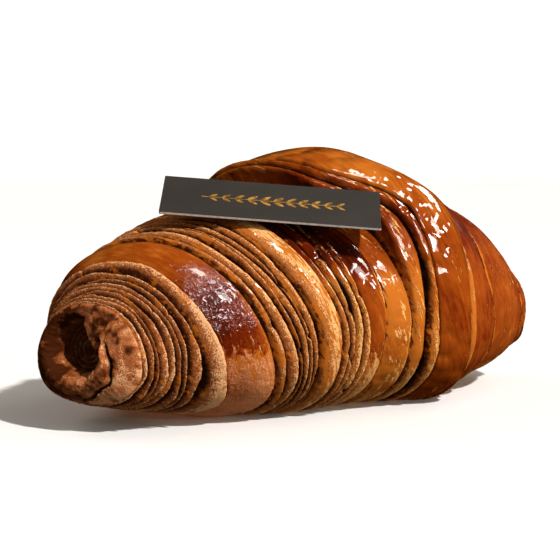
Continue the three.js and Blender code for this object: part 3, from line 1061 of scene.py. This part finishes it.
@dataclass(frozen=True)
class CrustFinish:
    """Baked chocolate dough: tan lamination edges, dark gaps and red-brown glaze.

    A scale is in swings to a metre, a step is where a mask starts and where it is full, and bump is the
    bump's strength and its height in metres.
    """

    name: str = "crust"
    # crumb_dark and warm_dark are the painted shade at a strip's left foot, and the colour of the dark pits
    crumb_dark: Colour = linear(64, 27, 7)
    crumb_mid: Colour = linear(144, 78, 38)
    crumb_pale: Colour = linear(220, 164, 116)
    warm_dark: Colour = linear(84, 36, 6)
    warm_mid: Colour = linear(172, 102, 46)
    warm_pale: Colour = linear(230, 170, 94)
    skin_matte: Colour = linear(214, 130, 82)
    # glaze_burnt_and_shaded is darker-baked glaze and the painted shadow under the card, where deep is
    # greatest
    glaze_burnt_and_shaded: Colour = linear(44, 13, 4)
    glaze_dark: Colour = linear(98, 27, 4)
    glaze_mid: Colour = linear(140, 61, 12)
    glaze_warm: Colour = linear(178, 97, 28)
    # hollow is the painted shade of the gaps, the creases and the curl's hollow
    hollow: Colour = linear(22, 6, 1)
    painted_glint: Colour = linear(234, 214, 222)
    cloud_scale: float = 48.0
    patch_scale: float = 120.0
    bead_scale: float = 180.0
    crackle_scale: float = 800.0
    fine_scale: float = 900.0
    speck_scale: float = 2600.0
    foot_shade_step: Span = (0.08, 0.4)
    dry_and_lit_step: Span = (0.57, 0.89)
    pit_step: Span = (0.46, 0.36)
    dull_step: Span = (0.44, 0.6)
    thin_step: Span = (0.66, 0.44)
    dark_step: Span = (-0.45, 0.1)
    mid_step: Span = (0.05, 0.55)
    warm_step: Span = (0.5, 1.0)
    wet_step: Span = (0.24, 0.56)
    gap_shade_step: Span = (0.2, 0.7)
    glint_step: Span = (0.57, 0.63)
    craze_step: Span = (0.3, 0.9)
    calm_step: Span = (0.42, 0.6)
    blister_step: Span = (0.42, 0.56)
    bump: Span = (0.6, 0.0008)
    matte_sheen: float = 0.02
    glaze_sheen: float = 0.35
    coat: float = 0.35
    coat_roughness: float = 0.06

    def make(self) -> bpy.types.Material:
        """Builds the material.

        Returns:
            The material.
        """
        g = Graph(self.name)
        grain, spot = g.stored("grain", "Vector"), g.object_place()
        shade, crest, tone, lean, glaze = map(g.stored, ("shade", "crest", "tone", "lean", "glaze"))
        warm, skinned, deep, shine, craze = map(g.stored, ("warm", "skinned", "deep", "shine", "craze"))
        # Patterns, first those that follow the wraps
        streak = g.noise(grain, 0.2, 4.0, 0.6)
        drawn = g.noise(g.stretched(grain, (0.5, 0.5, 1.0)), 0.3, 3.0, 0.6)
        cloud = g.noise(spot, self.cloud_scale, 2.0, 0.5)
        patch = g.noise(spot, self.patch_scale, 3.0, 0.55)
        fine = g.noise(spot, self.fine_scale, 3.0, 0.6)
        speck = g.noise(spot, self.speck_scale, 2.0, 0.6)
        crackle = g.noise(spot, self.crackle_scale, 2.0, 0.6, 1.2)
        beads = g.domes(spot, self.bead_scale, 0.6)
        # Dry crumb, with painted shade at the left foot of a strip, and pale at its crest and right edge,
        # partly toasting and partly a painted highlight
        dark = g.mix(self.crumb_dark, self.warm_dark, warm)
        mid = g.mix(self.crumb_mid, self.warm_mid, warm)
        pale = g.mix(self.crumb_pale, self.warm_pale, warm)
        uneven = 0.4 * (streak - 0.5) + 0.5 * (tone - 0.5)
        body = g.step(lean + uneven + 0.4 * (fine - 0.5), self.foot_shade_step)
        dry = 0.7 * lean + 0.3 * crest + uneven + 0.7 * (fine - 0.5) + 1.5 * (speck - 0.5)
        dry = g.step(dry, self.dry_and_lit_step)
        crumb = g.mix(g.mix(dark, mid, body), pale, dry)
        crumb = g.mix(crumb, dark, g.step(0.5 * fine + 0.5 * speck, self.pit_step) * 0.3)
        speckled = g.step(patch * 0.4 + speck * 0.6, self.dull_step) * 0.8
        dull = g.mix(self.skin_matte, self.crumb_mid, speckled)
        crumb = g.mix(crumb, dull, skinned * (1.0 - warm))
        # Brushed glaze, lighter where it thins out
        light = 1.0 - deep + 0.5 * (streak - 0.5) + 0.8 * (patch - 0.5)
        light = light + 0.9 * (drawn - 0.5) + 1.1 * (cloud - 0.5)
        light = light + 0.75 * g.step(glaze + 0.5 * (patch - 0.5) + 0.5 * (fine - 0.5), self.thin_step)
        # The darkest glaze carries the painted shade of deep as well as its own darkness
        skin = g.mix(self.glaze_burnt_and_shaded, self.glaze_dark, g.step(light, self.dark_step))
        skin = g.mix(skin, self.glaze_mid, g.step(light, self.mid_step))
        skin = g.mix(skin, self.glaze_warm, g.step(light, self.warm_step))
        wet = glaze + 0.7 * (patch - 0.5) + 0.9 * (fine - 0.5) + 2.6 * (drawn - 0.5)
        wet = g.step(wet, self.wet_step)
        # Painted shade in the gaps and the curl's hollow, and painted glints on the crazed glaze, go over
        # both
        colour = g.mix(g.mix(crumb, skin, wet), self.hollow, g.step(shade, self.gap_shade_step) * 0.95)
        # Painted glints: pale flecks on the crazed glaze where the key light falls
        painted_glint_mask = g.step(crackle, self.glint_step) * wet * g.step(craze, self.craze_step)
        colour = g.mix(colour, self.painted_glint, painted_glint_mask * 0.85)
        blistered = 0.6 + 2.6 * g.step(cloud, self.blister_step)
        glassy = 3.2 * crackle * craze - beads * beads * warm * shine * blistered
        calm = g.step(patch, self.calm_step)
        matte = g.surface(
            Base_Color=colour,
            Roughness=0.6 + 0.35 * warm - 0.22 * dry,
            Specular_IOR_Level=self.matte_sheen,
            Normal=g.bump((fine * 0.6 + speck * 0.5) * (1.0 - wet), *self.bump),
        )
        brushed = g.surface(
            Base_Color=colour,
            Roughness=0.05 + 0.05 * calm + 0.3 * (1.0 - shine) + 0.15 * craze,
            Specular_IOR_Level=self.glaze_sheen,
            Coat_Weight=self.coat,
            Coat_Roughness=self.coat_roughness,
            Normal=g.bump(glassy, *self.bump),
        )
        return g.finish(g.blend(matte, brushed, wet * shine))


@dataclass(frozen=True)
class CardFinish:
    """Charcoal card with faint paper fibre."""

    name: str = "card"
    face: Colour = linear(38, 33, 29)
    worn: Colour = linear(50, 44, 39)
    worn_step: Span = (0.42, 0.66)
    bump: Span = (0.12, 0.0002)

    def make(self) -> bpy.types.Material:
        """Builds the material.

        Returns:
            The material.
        """
        g = Graph(self.name)
        spot = g.object_place()
        fibre, cloud = g.noise(spot, 1800.0, 4.0, 0.6), g.noise(spot, 90.0, 2.0, 0.5)
        return g.finish(g.surface(
            Base_Color=g.mix(self.face, self.worn, g.step(fibre * 0.5 + cloud * 0.5, self.worn_step) * 0.5),
            Roughness=0.55 + 0.2 * fibre,
            Specular_IOR_Level=0.15,
            Normal=g.bump(fibre, *self.bump),
        ))


@dataclass(frozen=True)
class TwoToneFinish:
    """Two tones of one stuff that a fine grain mixes, roughens and bumps."""

    name: str
    low: Colour
    high: Colour
    scale: float
    detail: float
    rough: float
    rough_swing: float
    bump: Span
    metallic: float = 0.0
    step: Span = (0.36, 0.6)

    def make(self) -> bpy.types.Material:
        """Builds the material.

        Returns:
            The material.
        """
        g = Graph(self.name)
        grain = g.noise(g.object_place(), self.scale, self.detail, 0.6)
        return g.finish(g.surface(
            Base_Color=g.mix(self.low, self.high, g.step(grain, self.step)),
            Metallic=self.metallic,
            Roughness=self.rough + self.rough_swing * grain,
            Normal=g.bump(grain, *self.bump),
        ))


CUT_EDGE = TwoToneFinish(
    "card_cut_edge", linear(182, 176, 168), linear(206, 200, 192),
    scale=1400.0, detail=3.0, rough=0.7, rough_swing=0.2, bump=(0.2, 0.0001),
)
GOLD_FOIL = TwoToneFinish(
    "card_foil", linear(128, 88, 30), linear(196, 148, 62),
    scale=700.0, detail=4.0, rough=0.34, rough_swing=0.25, bump=(0.1, 0.0001), metallic=0.65,
)


@dataclass(frozen=True)
class FloorFinish:
    """Plain pale studio floor."""

    name: str = "floor"
    pale: Colour = linear(243, 242, 240)
    shade: Colour = linear(236, 235, 233)

    def make(self) -> bpy.types.Material:
        """Builds the material.

        Returns:
            The material.
        """
        g = Graph(self.name)
        cloud = g.noise(g.object_place(), 3.0, 3.0, 0.5)
        return g.finish(g.surface(Base_Color=g.mix(self.pale, self.shade, cloud), Roughness=0.8))


@dataclass(frozen=True)
class FlakeFinish:
    """Loose crust: thin, dry and toasted."""

    name: str = "flakes"
    toasted: Colour = linear(150, 78, 26)
    orange: Colour = linear(206, 118, 36)
    pale: Colour = linear(232, 170, 98)
    orange_step: Span = (0.36, 0.52)
    pale_step: Span = (0.5, 0.62)
    bump: Span = (0.3, 0.0002)

    def make(self) -> bpy.types.Material:
        """Builds the material.

        Returns:
            The material.
        """
        g = Graph(self.name)
        spot = g.object_place()
        patch, fine = g.noise(spot, 260.0, 2.0, 0.5), g.noise(spot, 2200.0, 3.0, 0.6)
        colour = g.mix(self.toasted, self.orange, g.step(patch, self.orange_step))
        return g.finish(g.surface(
            Base_Color=g.mix(colour, self.pale, g.step(0.6 * patch + 0.4 * fine, self.pale_step)),
            Roughness=0.5 + 0.2 * fine,
            Specular_IOR_Level=0.3,
            Normal=g.bump(fine, *self.bump),
        ))


@dataclass
class Flakes:
    """Thin chips of crust that have lifted off the dry crests."""

    shortest: float = 0.5
    longest: float = 1.6
    slimness: float = 0.45
    thickness: float = 0.1
    sink: float = 0.1
    tilt: float = math.radians(22.0)
    turn: float = 0.5
    corners: int = 7
    corner_reach: Span = (0.6, 1.15)
    width_range: Span = (0.6, 1.4)
    lowest: float = 4.0
    least_crest: float = 0.75
    most_glaze: float = 0.3
    most_shade: float = 0.1
    seed: int = 23
    made: bmesh.types.BMesh = field(init=False)
    draw: np.random.Generator = field(init=False)

    def __post_init__(self) -> None:
        """Starts an empty mesh."""
        self.made = bmesh.new()
        self.draw = np.random.default_rng(self.seed)

    def scatter(self, sheet: Sheet, roll: Roll, count: int) -> None:
        """Lays chips on the dry crests of a stretch of skin.

        Args:
            sheet: Rows of points and values.
            roll: The plain form, to tell inside from outside.
            count: How many chips to lay.
        """
        points, values = sheet.stacked()
        dry = (values["flat"] == 0) & (points[..., 2] > self.lowest) & (values["crest"] > self.least_crest)
        dry &= (values["glaze"] < self.most_glaze) & (values["shade"] < self.most_shade)
        dry[[0, -1], :] = False
        dry[:, [0, -1]] = False
        rows, columns = np.nonzero(dry)
        middle, _, _ = roll.axis(values["station"])
        for pick in self.draw.choice(len(rows), count, replace=False):
            r, c = rows[pick], columns[pick]
            along = Vector(points[r, c + 1] - points[r, c - 1]).normalized()
            across = Vector(points[r + 1, c] - points[r - 1, c])
            normal = along.cross(across).normalized()
            if normal.dot(Vector(points[r, c] - middle[r, c])) < 0:
                normal.negate()
            self.chip(Vector(points[r, c]), along, normal)

    def chip(self, place: Vector, along: Vector, normal: Vector) -> None:
        """Adds one chip.

        Args:
            place: Where it lies.
            along: Direction of the strip under it.
            normal: Outward direction there.
        """
        length = self.draw.uniform(self.shortest, self.longest)
        circle = bmesh.ops.create_circle(self.made, cap_ends=True, segments=self.corners, radius=0.5)
        outline = circle["verts"]
        for corner in outline:
            corner.co *= self.draw.uniform(*self.corner_reach)
        faces = list({f for v in outline for f in v.link_faces})
        points = outline + thickened(self.made, faces, self.thickness)
        width = length * self.slimness * self.draw.uniform(*self.width_range)
        bmesh.ops.scale(self.made, vec=Vector((length, width, 1.0)), verts=points)
        frame = Matrix((along, normal.cross(along), normal)).transposed().to_4x4()
        yaw = Matrix.Rotation(self.draw.normal(0.0, self.turn), 4, "Z")
        tilt = Matrix.Rotation(self.draw.uniform(-self.tilt, self.tilt), 4, "Y")
        seat = Matrix.Translation(place - normal * self.sink)
        bmesh.ops.transform(self.made, matrix=seat @ frame @ yaw @ tilt, verts=points)

    def build(self, shift: Array, finish: bpy.types.Material) -> bpy.types.Object:
        """Ends the piece.

        Args:
            shift: Move from the roll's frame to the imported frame, in millimetres.
            finish: Its material.

        Returns:
            The chips as one piece.
        """
        bmesh.ops.recalc_face_normals(self.made, faces=self.made.faces)
        move = Matrix.Scale(MM, 4) @ Matrix.Translation(Vector(shift))
        bmesh.ops.transform(self.made, matrix=move, verts=self.made.verts)
        return piece_of(self.made, "pastry_flakes", finish)


@dataclass
class LabelCard:
    """The dark card that lies on the crest, with a plain gold sprig. Its turns are in degrees."""

    length: float = 59.2
    depth: float = 19.7
    thickness: float = 0.8
    corner: float = 0.35
    corner_steps: int = 4
    cover: float = 0.1
    cut_slack: float = 1e-4
    yaw: float = -37.7
    roll: float = 4.4
    pitch: float = 26.7
    clearance: float = 0.12
    margin: float = 1.0
    press_reach: float = 8.0
    stem: float = 38.0
    rule: float = 0.3
    leaf: float = 3.6
    leaf_slim: float = 0.34
    leaf_turn: float = math.radians(38.0)
    leaf_pairs: int = 11
    leaf_first: float = 0.6
    leaf_taper: float = 0.3
    leaf_corners: int = 14
    foil: float = 0.03
    foil_gap: float = 0.005
    place: Matrix = field(init=False)

    def __post_init__(self) -> None:
        """Finds the card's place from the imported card."""
        low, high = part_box("label_card")
        middle = 0.5 * (Vector(low) + Vector(high))
        turn = Euler([math.radians(t) for t in (self.pitch, self.roll, self.yaw)], "XYZ")
        self.place = Matrix.Translation(middle) @ turn.to_matrix().to_4x4()

    def press(self, piece: bpy.types.Object) -> int:
        """Presses the dough under the card down to just below it.

        Args:
            piece: Piece of the pastry.

        Returns:
            How many points were pressed.
        """
        mesh = piece.data
        points = np.empty(3 * len(mesh.vertices), np.float32)
        mesh.vertices.foreach_get("co", points)
        points = points.reshape(-1, 3).astype(float)
        back = np.array(self.place.inverted())
        x, y, z = ((points @ back[:3, :3].T + back[:3, 3]) / MM).T
        under = (np.abs(x) < self.length / 2 + self.margin) & (np.abs(y) < self.depth / 2 + self.margin)
        ceiling = -self.thickness / 2 - self.clearance
        proud = under & (z > ceiling) & (z < self.press_reach)
        points[proud] -= np.outer((z[proud] - ceiling) * MM, np.array(self.place)[:3, 2])
        mesh.vertices.foreach_set("co", points.astype(np.float32).ravel())
        mesh.update()
        return int(proud.sum())

    def slab(self, mesh: bmesh.types.BMesh, size: tuple[float, float, float], level: float = 0.0) -> None:
        """Adds a box.

        Args:
            mesh: Where it goes.
            size: Its length, depth and height.
            level: Height of its middle over the card's.
        """
        made = bmesh.ops.create_cube(mesh, size=1.0)["verts"]
        bmesh.ops.scale(mesh, vec=Vector(size), verts=made)
        bmesh.ops.translate(mesh, vec=Vector((0, 0, level)), verts=made)

    def build_card(self, face: bpy.types.Material, cut: bpy.types.Material) -> bpy.types.Object:
        """Builds the card: a dark cover on both faces and a pale core that shows at the cut edges.

        Args:
            face: Finish of the faces.
            cut: Finish of the cut edges.

        Returns:
            The card.
        """
        made = bmesh.new()
        self.slab(made, (self.length, self.depth, self.thickness))
        upright = [e for e in made.edges if abs((e.verts[0].co - e.verts[1].co).z) > 0.5 * self.thickness]
        bmesh.ops.bevel(
            made, geom=upright, offset=self.corner, segments=self.corner_steps, profile=0.5,
            affect="EDGES", material=-1,
        )
        core = self.thickness / 2 - self.cover
        for plane in (-core, core):
            bmesh.ops.bisect_plane(
                made, geom=made.verts[:] + made.edges[:] + made.faces[:],
                plane_co=Vector((0, 0, plane)), plane_no=Vector((0, 0, 1)),
            )
        for f in made.faces:
            in_core = max(abs(v.co.z) for v in f.verts) < core + self.cut_slack
            f.material_index = int(in_core and abs(f.normal.z) < 0.5)
        return self.placed(made, "label_card_sheet", face, cut)

    def build_foil(self, gold: bpy.types.Material) -> bpy.types.Object:
        """Builds the gold sprig: a thin stem with pairs of leaves.

        Args:
            gold: Finish of the foil.

        Returns:
            The foil.
        """
        made = bmesh.new()
        level = self.thickness / 2 + self.foil_gap
        self.slab(made, (self.stem, self.rule, self.foil), level + self.foil / 2)
        leaves = set()
        for k in range(self.leaf_pairs):
            place = -self.stem / 2 + (k + self.leaf_first) * self.stem / self.leaf_pairs
            size = self.leaf * (1.0 - self.leaf_taper * abs(place) / (self.stem / 2))
            for side in (-1, 1):
                leaf = bmesh.ops.create_circle(
                    made, cap_ends=True, segments=self.leaf_corners, radius=size / 2
                )["verts"]
                bmesh.ops.scale(made, vec=Vector((1.0, self.leaf_slim, 1.0)), verts=leaf)
                bmesh.ops.translate(made, vec=Vector((size / 2 + self.rule, 0, level)), verts=leaf)
                turn = Matrix.Rotation(side * self.leaf_turn, 3, "Z")
                bmesh.ops.rotate(made, verts=leaf, cent=Vector(), matrix=turn)
                bmesh.ops.translate(made, vec=Vector((place, 0, 0)), verts=leaf)
                leaves.update(leaf)
        thickened(made, [f for f in made.faces if f.verts[0] in leaves], self.foil)
        return self.placed(made, "label_card_foil", gold)

    def placed(self, made: bmesh.types.BMesh, name: str, *finishes: bpy.types.Material) -> bpy.types.Object:
        """Piece of a mesh in the card's frame.

        Args:
            made: The mesh in millimetres.
            name: Name of the piece.
            *finishes: Its materials.

        Returns:
            The object, with its place in its points.
        """
        bmesh.ops.recalc_face_normals(made, faces=made.faces)
        bmesh.ops.transform(made, matrix=self.place @ Matrix.Scale(MM, 4), verts=made.verts)
        return piece_of(made, name, *finishes)


WARM = (1.0, 0.94, 0.86)
COOL = (1.0, 0.97, 0.95)


@dataclass(frozen=True)
class Lamp:
    """A panel that looks at the object from a way off in metres, or a sun where away is zero.

    azimuth and elevation are degrees; size is a panel's width in metres or a sun's in degrees; power is
    watts, or watts to a square metre for a sun. matte and shines tell whether it lights what is matte and
    whether it is seen in the glaze.
    """

    name: str
    azimuth: float
    elevation: float
    power: float
    size: float
    away: float = 0.0
    colour: tuple[float, float, float] = WARM
    matte: bool = True
    shines: bool = True


LAMPS = (
    Lamp("key", 3.0, 42.0, power=4.3, size=3.0, colour=COOL),
    Lamp("front", 22.0, 7.0, power=7.0, size=0.6, away=1.2, shines=False),
    Lamp("gleam", 3.0, 42.0, power=2.2, size=0.16, away=0.7, matte=False),
    Lamp("sparkle_40", 40.0, 48.0, power=2.0, size=0.12, away=0.7, matte=False),
    Lamp("sparkle_92", 92.0, 40.0, power=2.0, size=0.12, away=0.7, matte=False),
    Lamp("sparkle_10", 10.0, 75.0, power=2.0, size=0.12, away=0.7, matte=False),
    Lamp("side", 75.0, 40.0, power=0.5, size=40.0, shines=False),
    Lamp("back", 195.0, 40.0, power=0.6, size=40.0, shines=False),
)


@dataclass
class Studio:
    """Pale floor, soft lights and the camera. The floor's sizes and the nearest clip are metres."""

    azimuth: float = -38.0
    elevation: float = 5.5
    distance: float = 485.0
    sensor: float = 36.0
    lens: float = 108.0
    nearest: float = 0.01
    target: tuple[float, float, float] = (-4.0, 0.0, 34.2)
    floor_flat: float = 1.6
    floor_steps: int = 64
    sweep: float = 0.9
    sweep_steps: int = 12
    weld: float = 1e-6
    sky: Colour = linear(250, 243, 232)
    sky_strength: float = 0.2

    def direction(self, azimuth: float, elevation: float) -> Vector:
        """Unit direction from the object to a place round it, given in degrees."""
        a, e = math.radians(azimuth), math.radians(elevation)
        return Vector((math.sin(a) * math.cos(e), -math.cos(a) * math.cos(e), math.sin(e)))

    def camera(self, shift: Array) -> None:
        """Sets the camera where the photographer stood.

        Args:
            shift: Move from the roll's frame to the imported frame, in millimetres.
        """
        data = bpy.data.cameras.new("camera")
        data.sensor_width = self.sensor
        data.lens = self.lens
        data.clip_start = self.nearest
        made = linked("camera", data)
        back = self.direction(self.azimuth, self.elevation)
        made.location = (Vector(self.target) + Vector(shift) + back * self.distance) * MM
        made.rotation_euler = back.to_track_quat("Z", "Y").to_euler()
        bpy.context.scene.camera = made

    def light(self, lamp: Lamp) -> None:
        """Adds a lamp.

        Args:
            lamp: What it is and where it stands.
        """
        data = bpy.data.lights.new(lamp.name, "AREA" if lamp.away else "SUN")
        data.energy = lamp.power
        data.color = lamp.colour
        if lamp.away:
            data.size = lamp.size
        else:
            data.angle = math.radians(lamp.size)
        made = linked(lamp.name, data)
        toward = self.direction(lamp.azimuth, lamp.elevation)
        made.location = toward * lamp.away + Vector((0.0, 0.0, self.target[2] * MM))
        made.rotation_euler = toward.to_track_quat("Z", "Y").to_euler()
        made.visible_diffuse = lamp.matte
        made.visible_glossy = lamp.shines

    def floor(self) -> None:
        """Builds a round pale floor that curves up into a backdrop."""
        made = bmesh.new()
        spine = [Vector()]
        for k in range(self.sweep_steps + 1):
            turn = 0.5 * math.pi * k / self.sweep_steps
            out, high = self.floor_flat + self.sweep * math.sin(turn), self.sweep * (1.0 - math.cos(turn))
            spine.append(Vector((out, 0.0, high)))
        points = [made.verts.new(p) for p in spine]
        edges = [made.edges.new(pair) for pair in zip(points, points[1:])]
        bmesh.ops.spin(
            made, geom=points + edges, cent=Vector(), axis=Vector((0, 0, 1)), angle=2 * math.pi,
            steps=self.floor_steps, use_merge=True,
        )
        bmesh.ops.remove_doubles(made, verts=made.verts, dist=self.weld)
        bmesh.ops.recalc_face_normals(made, faces=made.faces)
        floor = piece_of(made, "floor", FloorFinish().make())
        floor.data.shade_smooth()
        floor.visible_glossy = False
        floor.visible_diffuse = False

    def build(self) -> None:
        """Builds the floor, the sky and the lights."""
        self.floor()
        world = bpy.data.worlds.new("world")
        world.use_nodes = True
        background = world.node_tree.nodes["Background"]
        background.inputs["Color"].default_value = self.sky
        background.inputs["Strength"].default_value = self.sky_strength
        world.cycles_visibility.glossy = False
        bpy.context.scene.world = world
        for lamp in LAMPS:
            self.light(lamp)
        bpy.context.scene.view_settings.view_transform = "Standard"


FLAKE_COUNTS = {"pastry_left_wraps": 90, "pastry_middle_wraps": 90, "pastry_right_wraps": 14}


def main() -> None:
    """Builds every piece in order and reports it."""
    logging.basicConfig(level=logging.INFO, format="%(message)s")
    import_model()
    roll = Roll()
    pastry = Pastry(roll)
    stops = [0, pastry.strip_after(LEFT_SPLIT), pastry.strip_after(RIGHT_SPLIT), len(pastry.strips)]
    sheets = {name: pastry.stretch(*ends) for name, ends in zip(FLAKE_COUNTS, zip(stops, stops[1:]))}
    every = np.concatenate([s.stacked()[0].reshape(-1, 3) for s in sheets.values()])
    low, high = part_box("pastry")
    shift = 0.5 * (np.array(low) + np.array(high)) / MM - 0.5 * (every.min(0) + every.max(0))
    shift[2] = 0.0
    card = LabelCard()
    crust = CrustFinish().make()
    for name, sheet in sheets.items():
        piece = pastry.piece(name, sheet, shift, crust)
        pressed = card.press(piece)
        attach(piece, BODY)
        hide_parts("pastry")
        LOG.info("%s: %d faces, %d points pressed", name, len(piece.data.polygons), pressed)
    flakes = Flakes()
    for name, count in FLAKE_COUNTS.items():
        flakes.scatter(sheets[name], roll, count)
    piece = flakes.build(shift, FlakeFinish().make())
    card.press(piece)
    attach(piece, BODY)
    LOG.info("%s: %d faces", piece.name, len(piece.data.polygons))
    sheet = card.build_card(CardFinish().make(), CUT_EDGE.make())
    foil = card.build_foil(GOLD_FOIL.make())
    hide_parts("label_card")
    for piece in (sheet, foil):
        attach(piece, BODY)
        LOG.info("%s: %d faces", piece.name, len(piece.data.polygons))
    studio = Studio()
    studio.build()
    studio.camera(shift)


if __name__ == "__main__":
    main()
